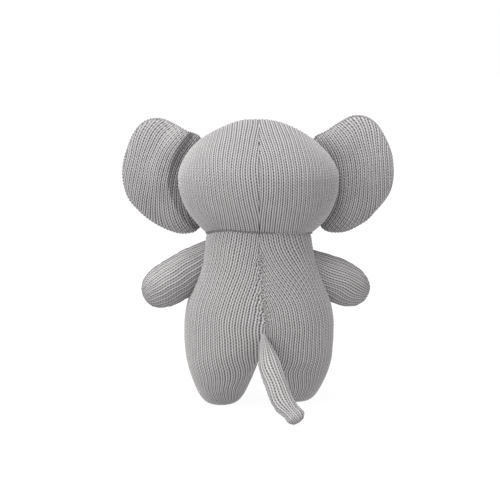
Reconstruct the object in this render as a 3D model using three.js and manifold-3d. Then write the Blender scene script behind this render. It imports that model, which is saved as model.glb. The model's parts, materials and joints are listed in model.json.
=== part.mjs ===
// A knitted, stuffed elephant standing on its two feet, in millimetres.
// +Z is up, the elephant faces -Y, and the origin is on the ground between its feet.
// Every fabric piece is a thin shell that is open where it is sewn on, with its stuffing inside.
// A limb sits in a recess that leaves room for every position that it can take.

import * as THREE from 'three';
import { ConvexGeometry } from 'three/addons/geometries/ConvexGeometry.js';
import { mergeVertices } from 'three/addons/utils/BufferGeometryUtils.js';
import Module from 'manifold-3d';

// Driving dimensions.
const BODY_HALF_WIDTH = 65;
const BODY_HALF_DEPTH = 46;
const NECK_HALF_WIDTH = 46;
const NECK_HEIGHT = 151;
const HEAD_HALF_WIDTH = 70;
const HEAD_HALF_DEPTH = 56;
const HEAD_CENTRE_HEIGHT = 200;
const HEAD_TOP = 249;
const HEAD_CHIN = 136;
const LEG_RADIUS = 27;
const SOLE_RADIUS = 11;
const ARM_RADIUS = 18;
const ARM_LENGTH = 62;
const TRUNK_RADIUS = 15;
const TAIL_WIDTH = 18;
const EAR_CUP = 16;
const EAR_HALF_THICKNESS = 5.7;
const EAR_HALF_WADDING = 2.7;
const EYE_RADIUS = 3;

// Fabric, thread and fit.
const WALL = 1.8;
const GAP = 0.45;
const SWING_GAP = 1.2;
const THREAD_RADIUS = 0.7;
const FACET_TOLERANCE = 0.08;

// How far each sewn-on part bends, in degrees from the way it is sewn.
const NOD = { from: -8, to: 12 };
const LEG_SWING = { from: -10, to: 35 };
const ARM_LIFT = { from: -10, to: 32 };
const EAR_FLAP = { from: -10, to: 25 };
const TRUNK_LIFT = { from: -12, to: 40 };
const TAIL_LIFT = { from: 0, to: 55 };
const SWEEP_STEP = 12;

// The neck seam lies in a plane that is higher at the back than at the front.
const NECK_TILT = 8;
const NECK_ROOM = 2;

// Where each part bends.
const NECK_PIVOT = new THREE.Vector3(0, 0, NECK_HEIGHT);
const HIP_PIVOT = new THREE.Vector3(33, 0, 46);
const EAR_PIVOT = new THREE.Vector3(60, -24, 196);
const TRUNK_PIVOT = new THREE.Vector3(0, -48, 188);
const TAIL_PIVOT = new THREE.Vector3(-5, 38, 64);

// The head makes room only for the roots of the trunk and ears, up to these points.
const TRUNK_ROOT_END = new THREE.Vector3(0, -75, 0);
const EAR_ROOT_END = new THREE.Vector3(77, 0, 0);

const X_AXIS = new THREE.Vector3(1, 0, 0);
const Y_AXIS = new THREE.Vector3(0, 1, 0);
const Z_AXIS = new THREE.Vector3(0, 0, 1);
const FORWARD_SWING = new THREE.Vector3(-1, 0, 0);
const EAR_AXIS = new THREE.Vector3(0, 0, -1);

// The two sides are mirror images, apart from how the arms and ears are sewn on.
const ARM_SEWN = {
  left: { shoulder: new THREE.Vector3(46, 0, 128), droop: 33, forward: 4 },
  right: { shoulder: new THREE.Vector3(46, 0, 121), droop: 25, forward: 28 },
};
const EAR_TILT = { left: 0, right: 5 };

const wasm = await Module();
wasm.setup();

const knit = new THREE.MeshStandardMaterial({ color: 0xb4b0ae, roughness: 0.95, metalness: 0 });
const wadding = new THREE.MeshStandardMaterial({ color: 0xf2f0ea, roughness: 0.9, metalness: 0 });
const thread = new THREE.MeshStandardMaterial({ color: 0xa29f9d, roughness: 0.8, metalness: 0 });
const eyeThread = new THREE.MeshStandardMaterial({ color: 0x1d1b1b, roughness: 0.6, metalness: 0 });

const elephant = new THREE.Group();

// ---------------------------------------------------------------- solids

// A closed three.js geometry as a solid that can be joined and cut.
function solidOf(geometry) {
  const bare = geometry.clone();
  bare.deleteAttribute('normal');
  bare.deleteAttribute('uv');
  const merged = mergeVertices(bare, 1e-4);
  return new wasm.Manifold(new wasm.Mesh({
    numProp: 3,
    vertProperties: new Float32Array(merged.attributes.position.array),
    triVerts: new Uint32Array(merged.index.array),
  }));
}

function geometryOf(solid) {
  const mesh = solid.getMesh();
  const geometry = new THREE.BufferGeometry();
  geometry.setAttribute('position', new THREE.Float32BufferAttribute(mesh.vertProperties, 3));
  geometry.setIndex(Array.from(mesh.triVerts));
  geometry.computeVertexNormals();
  return geometry;
}

function addPiece(name, solid, material) {
  const mesh = new THREE.Mesh(geometryOf(solid), material);
  mesh.name = name;
  elephant.add(mesh);
}

// Moves every vertex of a geometry by a function of its place.
function reshape(geometry, move) {
  const places = geometry.attributes.position;
  const vertex = new THREE.Vector3();
  for (let i = 0; i < places.count; i += 1) {
    vertex.fromBufferAttribute(places, i);
    move(vertex);
    places.setXYZ(i, vertex.x, vertex.y, vertex.z);
  }
  return geometry;
}

// The room that a part takes while it bends from one limit to the other, as one convex block.
function swingRoom(solid, pivot, axis, range) {
  const steps = Math.ceil((range.to - range.from) / SWEEP_STEP);
  const places = solid.getMesh().vertProperties;
  const points = [];
  for (let i = 0; i <= steps; i += 1) {
    const angle = THREE.MathUtils.degToRad(THREE.MathUtils.lerp(range.from, range.to, i / steps));
    for (let j = 0; j < places.length; j += 3) {
      const point = new THREE.Vector3(places[j], places[j + 1], places[j + 2]).sub(pivot);
      points.push(point.applyAxisAngle(axis, angle).add(pivot));
    }
  }
  return solidOf(new ConvexGeometry(points)).simplify(3 * FACET_TOLERANCE);
}

// Everything on one side of a plane through a point.
function halfSpace(point, normal) {
  const size = 600;
  const block = new THREE.BoxGeometry(size, size, size).translate(0, 0, size / 2);
  block.applyQuaternion(new THREE.Quaternion().setFromUnitVectors(Z_AXIS, normal));
  return solidOf(block.translate(point.x, point.y, point.z));
}

function ellipsoid(centre, halfSizes, sides, rings) {
  const ball = new THREE.SphereGeometry(1, sides, rings).rotateX(Math.PI / 2);
  return ball.scale(...halfSizes).translate(centre.x, centre.y, centre.z);
}

// A smooth outline of [radius, height] knots, moved outwards by an amount.
function grownProfile(knots, grow, pieces) {
  const curve = new THREE.SplineCurve(knots.map((knot) => new THREE.Vector2(...knot)));
  const points = [new THREE.Vector2(0, knots[0][1] - grow)];
  for (let i = 1; i < pieces; i += 1) {
    const point = curve.getPoint(i / pieces);
    const along = curve.getTangent(i / pieces);
    points.push(new THREE.Vector2(Math.max(point.x + along.y * grow, 0.1), point.y - along.x * grow));
  }
  points.push(new THREE.Vector2(0, knots[knots.length - 1][1] + grow));
  return points;
}

// A body turned from an outline, standing along +Z.
function turnedBody(knots, grow, pieces, sides) {
  return new THREE.LatheGeometry(grownProfile(knots, grow, pieces), sides).rotateX(Math.PI / 2);
}

// A tube of round or flattened section along a curve. Its knots are [radius, share of the length].
function tubeShape(curve, knots, flatness, grow, pieces, sides) {
  const length = curve.getLength();
  const outline = knots.map(([radius, share]) => [radius, share * length]);
  return solidOf(reshape(turnedBody(outline, grow, pieces, sides), (vertex) => {
    const share = THREE.MathUtils.clamp(vertex.z / length, 0, 1);
    const along = curve.getTangentAt(share);
    const across = X_AXIS.clone().addScaledVector(along, -X_AXIS.dot(along)).normalize();
    const out = new THREE.Vector3().crossVectors(along, across);
    const squash = THREE.MathUtils.lerp(1, flatness, THREE.MathUtils.smoothstep(share, 0.05, 0.3));
    const place = curve.getPointAt(share).addScaledVector(along, vertex.z - share * length);
    vertex.copy(place.addScaledVector(across, vertex.x).addScaledVector(out, vertex.y * squash));
  }));
}

function threadAlong(curve, steps) {
  const section = new THREE.Shape().absarc(0, 0, THREAD_RADIUS, 0, 2 * Math.PI);
  return new THREE.ExtrudeGeometry(section, { steps, curveSegments: 3, extrudePath: curve });
}

// Shapes are made for the left side, and the right side is their mirror image.
function onSide(solid, side) {
  return side === 'left' ? solid : solid.mirror([1, 0, 0]);
}

// ---------------------------------------------------------------- torso

const TORSO_KNOTS = [
  [0, 42], [40, 42], [58, 47], [BODY_HALF_WIDTH - 0.5, 58], [BODY_HALF_WIDTH, 72], [61.5, 92],
  [55, 110], [49, 128], [NECK_HALF_WIDTH + 0.5, 142], [NECK_HALF_WIDTH - 1, 156], [20, 160], [0, 160],
];

// The hand-sewn part of the back, as shares of the outline, and how its stitches run.
const BACK_SEAM = { from: 0.4, to: 0.68 };
const BACK_STITCHES = 16;
const STITCH_REACH = 1.2;

// The torso is shallower than it is wide, and rounder towards the neck.
function depthRatio(height) {
  const rise = THREE.MathUtils.smoothstep(height, 70, NECK_HEIGHT);
  return THREE.MathUtils.lerp(BODY_HALF_DEPTH / BODY_HALF_WIDTH, 0.8, rise);
}

function torsoShape(grow) {
  return solidOf(reshape(turnedBody(TORSO_KNOTS, grow, 13, 24), (vertex) => {
    vertex.y *= depthRatio(vertex.z);
  }));
}

function neckNormal(degrees) {
  return Z_AXIS.clone().applyAxisAngle(X_AXIS, THREE.MathUtils.degToRad(degrees));
}

// The room above the torso that the head's underside needs at both ends of its nod.
function neckRoom() {
  const rim = NECK_PIVOT.clone().addScaledVector(Z_AXIS, -NECK_ROOM);
  const nodded = halfSpace(rim, neckNormal(NECK_TILT + NOD.to));
  return nodded.add(halfSpace(rim, neckNormal(NECK_TILT + NOD.from)));
}

// The stuffing that bulges from the head down into the torso, with some room to grow.
function neckBulge(grow) {
  return solidOf(ellipsoid(NECK_PIVOT, [35 + grow, 27 + grow, 27 + grow], 16, 10));
}

// Hand-sewn ladder stitches, crossing from panel to panel up the middle of the back.
function closingSeam() {
  const outline = new THREE.SplineCurve(TORSO_KNOTS.map((knot) => new THREE.Vector2(...knot)));
  const points = [];
  for (let i = 0; i <= BACK_STITCHES; i += 1) {
    const share = THREE.MathUtils.lerp(BACK_SEAM.from, BACK_SEAM.to, i / BACK_STITCHES);
    const spot = outline.getPoint(share);
    const depth = spot.x * depthRatio(spot.y) + THREAD_RADIUS + GAP;
    points.push(new THREE.Vector3(i % 2 ? STITCH_REACH : -STITCH_REACH, depth, spot.y));
  }
  return solidOf(threadAlong(new THREE.CatmullRomCurve3(points), 2 * BACK_STITCHES));
}

// ---------------------------------------------------------------- head

// Egg-shaped, flatter above its widest level than below it.
function headShape(grow) {
  const upper = HEAD_TOP - HEAD_CENTRE_HEIGHT + grow;
  const lower = HEAD_CENTRE_HEIGHT - HEAD_CHIN + grow;
  const halfSizes = [HEAD_HALF_WIDTH + grow, HEAD_HALF_DEPTH + grow, 1];
  const egg = reshape(ellipsoid(new THREE.Vector3(), halfSizes, 24, 12), (vertex) => {
    vertex.z *= vertex.z > 0 ? upper : lower;
  });
  return solidOf(egg.translate(0, -4, HEAD_CENTRE_HEIGHT));
}

function aboveNeck(room) {
  const normal = neckNormal(NECK_TILT);
  return halfSpace(NECK_PIVOT.clone().addScaledVector(normal, room), normal);
}

// The ring of thread that joins the head's edge to the torso's edge.
function neckSeam() {
  const ring = new THREE.TorusGeometry(1, THREAD_RADIUS, 5, 26);
  const centreLine = { x: 42.5, y: 34 };
  reshape(ring, (vertex) => {
    const around = new THREE.Vector2(vertex.x, vertex.y).normalize();
    const out = Math.hypot(vertex.x, vertex.y) - 1;
    vertex.set(around.x * (centreLine.x + out), around.y * (centreLine.y + out), vertex.z);
  });
  ring.translate(0, 0, -1.2).rotateX(THREE.MathUtils.degToRad(NECK_TILT));
  return solidOf(ring.translate(NECK_PIVOT.x, NECK_PIVOT.y, NECK_PIVOT.z));
}

// An embroidered eye, a low dome on the front of the head.
function eyeShape(grow) {
  const direction = new THREE.Vector3(0.5, -0.86, 0.12);
  const skin = [HEAD_HALF_WIDTH, HEAD_HALF_DEPTH, HEAD_TOP - HEAD_CENTRE_HEIGHT];
  const reach = 1 / Math.hypot(direction.x / skin[0], direction.y / skin[1], direction.z / skin[2]);
  const dome = ellipsoid(new THREE.Vector3(), [EYE_RADIUS + grow, EYE_RADIUS + grow, 1.2 + grow], 10, 6);
  const facing = new THREE.Vector3(direction.x / skin[0] ** 2, direction.y / skin[1] ** 2, 0).normalize();
  dome.applyQuaternion(new THREE.Quaternion().setFromUnitVectors(Z_AXIS, facing));
  const place = direction.multiplyScalar(reach);
  return solidOf(dome.translate(place.x, place.y - 4, place.z + HEAD_CENTRE_HEIGHT));
}

// ---------------------------------------------------------------- limbs

const FOOT_KNOTS = [
  [0, 0], [SOLE_RADIUS, 0], [15, 3], [19.5, 9], [24, 19], [LEG_RADIUS, 30], [20, 44], [0, 48],
];

// A stub leg: a foot with a flat sole, under a thigh that is round about the hip axis.
function legShape(grow) {
  const thigh = ellipsoid(HIP_PIVOT, [28.5 + grow, 32.5 + grow, 32.5 + grow], 16, 10);
  const foot = reshape(turnedBody(FOOT_KNOTS, grow, 8, 16), (vertex) => {
    vertex.y *= 1.1;
    vertex.z = Math.max(vertex.z, 0);
  });
  return solidOf(thigh).add(solidOf(foot.translate(0.97 * HIP_PIVOT.x, -2, 0)));
}

const ARM_KNOTS = [
  [0, -18], [12.7, -12.7], [18, 0], [17.6, 14], [ARM_RADIUS, 28], [ARM_RADIUS, 41],
  [15, 52], [8.5, 59], [0, ARM_LENGTH],
];

function armDirection(side) {
  const droop = THREE.MathUtils.degToRad(ARM_SEWN[side].droop);
  const forward = THREE.MathUtils.degToRad(ARM_SEWN[side].forward);
  return new THREE.Vector3(
    Math.cos(droop) * Math.cos(forward),
    -Math.cos(droop) * Math.sin(forward),
    -Math.sin(droop),
  );
}

// The level axis that lifts an arm straight up from the way it points.
function armAxis(side) {
  return new THREE.Vector3().crossVectors(armDirection(side), Z_AXIS).normalize();
}

function armShape(side, grow) {
  const arm = turnedBody(ARM_KNOTS, grow, 9, 14);
  arm.applyQuaternion(new THREE.Quaternion().setFromUnitVectors(Z_AXIS, armDirection(side)));
  return solidOf(arm.translate(...ARM_SEWN[side].shoulder));
}

const TRUNK_LINE = new THREE.CatmullRomCurve3([
  new THREE.Vector3(0, -34, 191),
  TRUNK_PIVOT,
  new THREE.Vector3(0, -63, 180),
  new THREE.Vector3(0, -70, 160),
  new THREE.Vector3(0, -71, 136),
  new THREE.Vector3(0, -77, 113),
]);
const TRUNK_KNOTS = [
  [0, -0.02], [12, 0.03], [16.5, 0.14], [16, 0.28], [TRUNK_RADIUS, 0.42],
  [12.5, 0.7], [11, 0.88], [7, 0.97], [0, 1],
];

function trunkShape(grow) {
  return tubeShape(TRUNK_LINE, TRUNK_KNOTS, 1, grow, 10, 12);
}

// The tail is a flat tube that hangs behind the right leg and reaches the ground.
const TAIL_LINE = new THREE.CatmullRomCurve3([
  TAIL_PIVOT,
  new THREE.Vector3(-6, 50, 56),
  new THREE.Vector3(-12, 61, 37),
  new THREE.Vector3(-21, 71, 18),
  new THREE.Vector3(-33, 81, 5),
]);
const TAIL_KNOTS = [
  [0, -0.09], [6.5, -0.02], [8.5, 0.08], [TAIL_WIDTH / 2, 0.4], [8.5, 0.8], [5.5, 0.95], [0, 1],
];

function tailShape(grow) {
  return tubeShape(TAIL_LINE, TAIL_KNOTS, 0.5, grow, 10, 10);
}

// ---------------------------------------------------------------- ears

// The ear's edge, as distances outwards and upwards from its pivot.
const EAR_EDGE = new THREE.CatmullRomCurve3([
  [-9, 33], [3, 42], [28, 52], [46.5, 43.5], [58, 14], [56, -11], [45, -27], [28, -40], [8, -46.5],
  [-9, -38], [1, 0],
].map(([out, up]) => new THREE.Vector3(out, up, 0)), true);
const EAR_MIDDLE = new THREE.Vector3(24, 2, 0);

// How far back the ear lies, from its root over the fold near the head to its outer edge.
function earBend(out, up) {
  const share = THREE.MathUtils.clamp((out + 12) / 70, 0, 1);
  return EAR_CUP * Math.sin(share * 0.9 * Math.PI) ** 0.8 - 7 * (up / 49) ** 2;
}

// One layer of an ear: a cupped plate between two depths, thinner at its sewn edge.
function earLayer(side, front, back, grow) {
  const rings = 3;
  const profile = [];
  for (let i = 0; i <= rings; i += 1) {
    profile.push(new THREE.Vector2(i / rings, front - grow));
  }
  for (let i = rings; i >= 0; i -= 1) {
    profile.push(new THREE.Vector2(i / rings, back + grow));
  }
  const plate = reshape(new THREE.LatheGeometry(profile, 24), (vertex) => {
    const share = Math.hypot(vertex.x, vertex.z);
    const round = (Math.atan2(vertex.x, vertex.z) / (2 * Math.PI) + 1) % 1;
    const toEdge = EAR_EDGE.getPoint(round).sub(EAR_MIDDLE);
    const reach = share * (1 + Math.max(grow, 0) / toEdge.length());
    const spot = EAR_MIDDLE.clone().addScaledVector(toEdge, reach);
    const thinness = 1 - 0.4 * share ** 3;
    vertex.set(spot.x, earBend(spot.x, spot.y) + vertex.y * thinness, spot.y);
  });
  plate.rotateY(THREE.MathUtils.degToRad(-EAR_TILT[side]));
  return solidOf(plate.translate(EAR_PIVOT.x, EAR_PIVOT.y, EAR_PIVOT.z));
}

// ---------------------------------------------------------------- assembly

const EAR_LAYERS = {
  ear_back: { front: EAR_HALF_THICKNESS - WALL, back: EAR_HALF_THICKNESS, material: knit },
  ear_wadding: { front: -EAR_HALF_WADDING, back: EAR_HALF_WADDING, material: wadding },
  ear_front: { front: -EAR_HALF_THICKNESS, back: WALL - EAR_HALF_THICKNESS, material: knit },
};

// A fabric shell with its stuffing, given its shape and the side that it is open on.
function addStuffed(coverName, fillingName, shape, opening) {
  addPiece(coverName, shape(0).subtract(shape(-WALL)).subtract(opening), knit);
  addPiece(fillingName, shape(-WALL - GAP), wadding);
}

// Two halves of a fabric shell, with their edges along the middle of the back and front.
function addPanels(prefix, shell) {
  const middle = solidOf(new THREE.BoxGeometry(GAP, 600, 600));
  const leftHalf = halfSpace(new THREE.Vector3(), X_AXIS);
  const open = shell.subtract(middle);
  addPiece(`${prefix}_left`, open.intersect(leftHalf).simplify(FACET_TOLERANCE), knit);
  addPiece(`${prefix}_right`, open.subtract(leftHalf).simplify(FACET_TOLERANCE), knit);
}

function addTorso() {
  let room = neckRoom().add(swingRoom(tailShape(SWING_GAP), TAIL_PIVOT, X_AXIS, TAIL_LIFT));
  for (const side of ['left', 'right']) {
    const legRoom = swingRoom(legShape(SWING_GAP), HIP_PIVOT, FORWARD_SWING, LEG_SWING);
    const { shoulder } = ARM_SEWN[side];
    const armRoom = swingRoom(armShape(side, SWING_GAP), shoulder, armAxis(side), ARM_LIFT);
    room = room.add(onSide(legRoom, side)).add(onSide(armRoom, side));
  }
  addPanels('body_panel', torsoShape(0).subtract(torsoShape(-WALL)).subtract(room));
  const core = torsoShape(-WALL - GAP).subtract(room).subtract(neckBulge(SWING_GAP));
  addPiece('body_filling', core.simplify(FACET_TOLERANCE), wadding);
  addPiece('closing_seam_thread', closingSeam(), thread);
}

function addHead() {
  const faceSide = halfSpace(TRUNK_ROOT_END, Y_AXIS);
  const trunkRoot = trunkShape(SWING_GAP).intersect(faceSide);
  let room = swingRoom(trunkRoot, TRUNK_PIVOT, FORWARD_SWING, TRUNK_LIFT);
  const rootSide = halfSpace(EAR_ROOT_END, X_AXIS.clone().negate());
  for (const side of ['left', 'right']) {
    const ear = earLayer(side, -EAR_HALF_THICKNESS, EAR_HALF_THICKNESS, SWING_GAP);
    const earRoot = ear.intersect(rootSide);
    room = room.add(onSide(swingRoom(earRoot, EAR_PIVOT, EAR_AXIS, EAR_FLAP), side));
    room = room.add(onSide(eyeShape(GAP), side));
    addPiece(`eye_${side}`, onSide(eyeShape(0), side), eyeThread);
  }
  const shell = headShape(0).subtract(headShape(-WALL)).intersect(aboveNeck(0));
  addPanels('head_panel', shell.subtract(room));
  const bulge = neckBulge(0).subtract(aboveNeck(0));
  const core = headShape(-WALL - GAP).intersect(aboveNeck(-0.01)).subtract(room);
  addPiece('head_filling', core.add(bulge).simplify(FACET_TOLERANCE), wadding);
  addPiece('neck_seam_thread', neckSeam(), thread);
}

function addLimbs() {
  for (const side of ['left', 'right']) {
    const hipOpening = halfSpace(HIP_PIVOT, Z_AXIS);
    const leg = (grow) => onSide(legShape(grow), side);
    addStuffed(`leg_cover_${side}`, `leg_filling_${side}`, leg, hipOpening);

    const inwards = armDirection(side).negate();
    const armOpening = onSide(halfSpace(ARM_SEWN[side].shoulder, inwards), side);
    const arm = (grow) => onSide(armShape(side, grow), side);
    addStuffed(`arm_cover_${side}`, `arm_filling_${side}`, arm, armOpening);
  }
}

function addTrunk() {
  const opening = halfSpace(TRUNK_PIVOT, Y_AXIS);
  addStuffed('trunk_cover', 'trunk_filling', trunkShape, opening);
}

function addTail() {
  const opening = halfSpace(TAIL_PIVOT, Y_AXIS.clone().negate());
  addStuffed('tail_cover', 'tail_filling', tailShape, opening);
}

function addEars() {
  for (const side of ['left', 'right']) {
    for (const [name, layer] of Object.entries(EAR_LAYERS)) {
      addPiece(`${name}_${side}`, onSide(earLayer(side, layer.front, layer.back, 0), side), layer.material);
    }
  }
}

addTorso();
addHead();
addLimbs();
addTrunk();
addTail();
addEars();

export default elephant;
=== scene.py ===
"""The looks of a knitted, stuffed elephant that stands on its feet and is seen from behind.

Shapes are worked out in millimetres and turned into metres when a mesh is made.
Every knitted piece is a fine grid that carries its own stitch columns and rows. The grid is pushed
in and out by its stitches, and the same columns and rows colour the yarn in the material, where
they also paint shade into the holes between the columns.
"""

import json
import math

import bpy
import numpy as np
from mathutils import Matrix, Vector


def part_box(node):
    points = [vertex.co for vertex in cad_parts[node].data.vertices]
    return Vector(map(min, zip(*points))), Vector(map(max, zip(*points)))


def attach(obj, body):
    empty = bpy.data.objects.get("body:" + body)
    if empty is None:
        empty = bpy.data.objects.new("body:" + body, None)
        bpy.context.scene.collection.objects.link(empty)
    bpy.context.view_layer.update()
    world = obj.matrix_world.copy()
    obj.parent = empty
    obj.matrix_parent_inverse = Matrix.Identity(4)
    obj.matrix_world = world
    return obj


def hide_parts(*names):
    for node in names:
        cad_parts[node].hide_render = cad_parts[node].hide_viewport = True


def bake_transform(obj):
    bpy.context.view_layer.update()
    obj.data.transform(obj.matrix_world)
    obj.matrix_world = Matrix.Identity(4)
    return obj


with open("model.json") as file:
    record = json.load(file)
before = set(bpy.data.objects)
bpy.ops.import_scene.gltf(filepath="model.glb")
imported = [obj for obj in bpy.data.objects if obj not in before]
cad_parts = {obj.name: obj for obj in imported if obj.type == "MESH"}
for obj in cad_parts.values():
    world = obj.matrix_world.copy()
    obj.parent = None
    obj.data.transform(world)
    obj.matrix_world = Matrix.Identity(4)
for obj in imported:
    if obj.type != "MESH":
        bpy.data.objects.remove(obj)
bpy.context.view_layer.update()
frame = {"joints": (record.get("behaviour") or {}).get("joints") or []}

MM = 0.001
SIDES = {"left": 1, "right": -1}

# The knit, in millimetres: width of a stitch column on each kind of piece, height of a stitch,
# how far the yarn stands out, and the size of the grid it is made on.
BODY_WALE = 4.4
HEAD_WALE = 4.1
LIMB_WALE = 4.25
EAR_WALE = 3.5
COURSE = 2.6
YARN = 1.3
FINE = 0.66

# Camera.
VIEW_HEIGHT_DEG = 8
VIEW_DISTANCE = 1.1
VIEW_SPAN = 0.435
AIM = (0.0078, 0, 0.136)


# ---------------------------------------------------------------- what the frame says


def pivot(joint):
    """Where a joint turns, in millimetres."""
    found = next(j for j in frame["joints"] if j["name"] == joint)
    return np.array(found["pos_m"], float) / MM


def box(node):
    """The low and high corners of a CAD node, in millimetres."""
    low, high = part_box(node)
    return np.array(low) / MM, np.array(high) / MM


NECK = pivot("neck_nod")
TAIL_ROOT = pivot("tail_lift")
BODY_WIDE, BODY_DEEP = box("body_panel_left")[1][:2]
HEAD_WIDE, HEAD_BACK, HEAD_TOP = box("head_panel_left")[1]
HEAD_FORWARD = 4
HEAD_DEEP = HEAD_BACK + HEAD_FORWARD
HEAD_MIDDLE = 200
HEAD_CHIN = 136
NECK_TILT = math.tan(math.radians(8))


# ---------------------------------------------------------------- small maths


def smooth(x, low, high):
    """0 up to low and 1 from high, with soft bends."""
    t = np.clip((x - low) / (high - low), 0, 1)
    return t * t * (3 - 2 * t)


def bump(x, width):
    """1 at zero, and fading out on both sides."""
    return np.exp(-((x / width) ** 2))


def through(knots_x, knots_y, x):
    """A smooth line through knots that never swings past them."""
    kx = np.array(knots_x, float)
    ky = np.array(knots_y, float)
    step = np.diff(kx)
    slope = np.diff(ky) / step
    lead = np.zeros(len(kx))
    same = slope[:-1] * slope[1:] > 0
    weight_a = 2 * step[1:] + step[:-1]
    weight_b = step[1:] + 2 * step[:-1]
    with np.errstate(divide="ignore", invalid="ignore"):
        mean = (weight_a + weight_b) / (weight_a / slope[:-1] + weight_b / slope[1:])
    lead[1:-1] = np.where(same, mean, 0)
    lead[0], lead[-1] = slope[0], slope[-1]
    i = np.clip(np.searchsorted(kx, x, "right") - 1, 0, len(step) - 1)
    t = np.clip((x - kx[i]) / step[i], 0, 1)
    a = (1 + 2 * t) * (1 - t) ** 2
    b = t * (1 - t) ** 2
    c = t * t * (3 - 2 * t)
    d = t * t * (t - 1)
    return a * ky[i] + b * step[i] * lead[i] + c * ky[i + 1] + d * step[i] * lead[i + 1]


def ramp(x, softness):
    """0 below zero and x above it, with a soft bend."""
    return softness * np.logaddexp(0, x / softness)


def ripple(points, size, seed):
    """Soft irregular waves of about -1 to 1, the same on every run."""
    draw = np.random.default_rng(seed)
    total = np.zeros(points.shape[:-1])
    waves = 7
    for _ in range(waves):
        direction = draw.normal(size=3)
        direction /= np.linalg.norm(direction)
        turns = points @ direction * 2 * math.pi / (size * draw.uniform(0.7, 1.6))
        total += np.sin(turns + draw.uniform(0, 2 * math.pi))
    return total / math.sqrt(waves)


def stitch_height(wale, course):
    """How far the yarn stands out, from 0 in the holes between the columns to 1 on top of the loops."""
    across = 2 * np.abs(wale - np.floor(wale) - 0.5)
    ridge = 1 - across**3
    legs = 0.5 - 0.5 * np.cos(2 * math.pi * across)
    beat = 0.5 + 0.5 * np.cos(2 * math.pi * (course - 0.7 * across))
    return ridge * (0.52 + 0.1 * beat) + legs * (0.26 + 0.12 * beat)


def lengths(points, axis):
    """Running length along one axis of a grid, starting at 0."""
    steps = np.linalg.norm(np.diff(points, axis=axis), axis=-1)
    zero = np.zeros_like(np.take(steps, [0], axis=axis))
    return np.concatenate([zero, np.cumsum(steps, axis=axis)], axis=axis)


def grid_normals(points):
    """Outward directions of a closed grid whose rows go up and whose columns go round."""
    ring = np.concatenate([points[:, -2:-1], points, points[:, 1:2]], axis=1)
    round_way = ring[:, 2:] - ring[:, :-2]
    up_way = np.gradient(points, axis=0)
    normal = np.cross(round_way, up_way)
    size = np.linalg.norm(normal, axis=-1, keepdims=True)
    return normal / np.maximum(size, 1e-9)


# ---------------------------------------------------------------- meshes


def mesh_object(name, points, faces_of, uv):
    """A mesh from points in millimetres and blocks of faces. Its UVs are the knit's columns and rows."""
    mesh = bpy.data.meshes.new(name)
    points = np.asarray(points, float).reshape(-1, 3) * MM
    mesh.vertices.add(len(points))
    mesh.vertices.foreach_set("co", points.astype(np.float32).ravel())
    sizes = np.concatenate([np.full(len(f), f.shape[1]) for f in faces_of])
    loops = np.concatenate([f.ravel() for f in faces_of])
    mesh.loops.add(len(loops))
    mesh.loops.foreach_set("vertex_index", loops.astype(np.int32))
    mesh.polygons.add(len(sizes))
    starts = np.concatenate([[0], np.cumsum(sizes)[:-1]])
    mesh.polygons.foreach_set("loop_start", starts.astype(np.int32))
    mesh.polygons.foreach_set("use_smooth", np.ones(len(sizes), bool))
    mesh.update(calc_edges=True)
    layer = mesh.uv_layers.new(name="knit")
    layer.data.foreach_set("uv", np.concatenate(uv).astype(np.float32).ravel())
    mesh.validate()
    piece = bpy.data.objects.new(name, mesh)
    bpy.context.scene.collection.objects.link(piece)
    return piece


def ring_faces(wale, course):
    """The four-sided faces of a closed-round grid and their UVs."""
    rows, ring = wale.shape[0], wale.shape[1] - 1
    row, column = np.meshgrid(np.arange(rows - 1), np.arange(ring), indexing="ij")
    following = (column + 1) % ring
    corners = [(row, column), (row, following), (row + 1, following), (row + 1, column)]
    quads = np.stack([r * ring + c for r, c in corners], axis=-1).reshape(-1, 4)
    places = [(row, column), (row, column + 1), (row + 1, column + 1), (row + 1, column)]
    uv = np.stack([np.stack([wale[p], course[p]], -1) for p in places], axis=2).reshape(-1, 4, 2)
    return quads, uv


def grid_mesh(name, points, faces, spans, flip):
    """A mesh of a closed-round grid. Its first and last columns are the same line."""
    if flip:
        faces = [f[:, ::-1] for f in faces]
        spans = [s[:, ::-1] for s in spans]
    return mesh_object(name, points[:, :-1], faces, [s.reshape(-1, 2) for s in spans])


def tube_mesh(name, points, wale, course, flip=False):
    """A closed-round grid, capped at both ends."""
    quads, uv = ring_faces(wale, course)
    ring = wale.shape[1] - 1
    first = np.arange(ring)[::-1][None]
    last = (points.shape[0] - 1) * ring + np.arange(ring)[None]
    plain = np.zeros((1, ring, 2))
    return grid_mesh(name, points, [quads, first, last], [uv, plain, plain], flip)


def disc_mesh(name, points, wale, course, flip):
    """A disc made of rings, with a small face in its middle."""
    quads, uv = ring_faces(wale, course)
    ring = wale.shape[1] - 1
    first = np.arange(ring)[::-1][None]
    middle = np.stack([wale[0, :ring], course[0, :ring]], -1)[::-1][None]
    return grid_mesh(name, points, [quads, first], [uv, middle], flip)


def knitted(points, wale, course, amount=1.0):
    """The grid pushed out and in by its stitches."""
    height = stitch_height(wale, course) - 0.6
    return points + grid_normals(points) * (height * YARN * amount)[..., None]


# ---------------------------------------------------------------- body halves

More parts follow.
